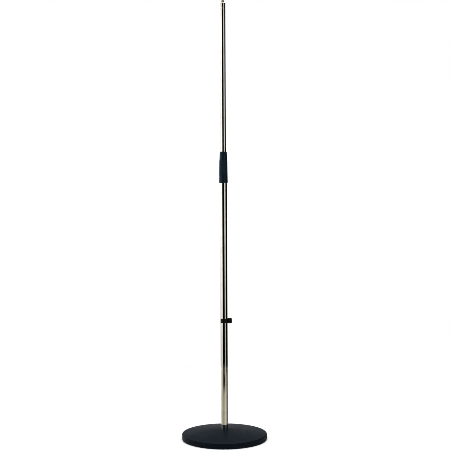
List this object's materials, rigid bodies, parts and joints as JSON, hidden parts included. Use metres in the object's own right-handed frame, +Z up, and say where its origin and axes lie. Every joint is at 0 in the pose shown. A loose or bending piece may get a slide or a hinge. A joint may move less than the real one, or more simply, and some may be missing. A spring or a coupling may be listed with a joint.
{
  "type": "telescopic microphone floor stand",
  "caption": "Straight telescopic microphone floor stand: round cast base, plated lower tube and extension rod, twist-grip clutch, threaded stud and a press-on cable clip.",
  "frame": {"origin": "middle of the round base, on the floor under the rubber ring", "axes": "+Z up along the column; the cable clip's hook points along +X; the stand is drawn out to a working height at rest"},
  "size_m": [0.25, 0.25, 1.2939],
  "materials": {
    "base_coat": "fine textured black powder coat on cast iron, satin",
    "foot_rubber": "matt moulded rubber",
    "plated_tube": "polished warm nickel plate",
    "plain_steel": "turned steel, oiled",
    "clutch_black": "satin black coat",
    "grip_rubber": "soft satin black rubber",
    "bearing_plastic": "natural moulded acetal",
    "stud_steel": "yellow passivated zinc",
    "clip_plastic": "moulded black nylon, satin"
  },
  "bodies": {
    "stand": {"base_casting": "base_coat", "base_rubber_ring": "foot_rubber", "tube_foot_plug": "plain_steel", "landing_buffer": "foot_rubber", "lower_tube": "plated_tube", "clutch_housing": "clutch_black"},
    "rod_guide": {"rod_glide_ring": "bearing_plastic"},
    "upper_rod": {"extension_rod": "plated_tube", "rod_end_plug": "plain_steel", "rod_top_collar": "plated_tube", "microphone_stud": "stud_steel"},
    "collet": {"clutch_collet": "bearing_plastic"},
    "twist_grip": {"clutch_nut": "clutch_black", "clutch_grip": "grip_rubber"},
    "cable_clip": {"cable_clip": "clip_plastic"}
  },
  "joints": [
    {"name": "rod_slide", "type": "slide", "parent": "stand", "child": "rod_guide", "axis": [0, 0, 1], "range_m": [-0.423, 0.2805]},
    {"name": "rod_swivel", "type": "hinge", "parent": "rod_guide", "child": "upper_rod", "pos_m": [0, 0, 1], "axis": [0, 0, 1], "continuous": true},
    {"name": "collet_lift", "type": "slide", "parent": "stand", "child": "collet", "axis": [0, 0, 1], "range_m": [0, 0.0015]},
    {"name": "grip_turn", "type": "hinge", "parent": "collet", "child": "twist_grip", "pos_m": [0, 0, 0.81], "axis": [0, 0, 1], "range_deg": [0, 270]},
    {"name": "clip_slide", "type": "slide", "parent": "stand", "child": "cable_clip", "axis": [0, 0, 1], "range_m": [-0.31, 0.398]}
  ],
  "couplings": [
    {"joint": "collet_lift", "follows": "grip_turn", "m_per_rad": 0.00031831}
  ]
}
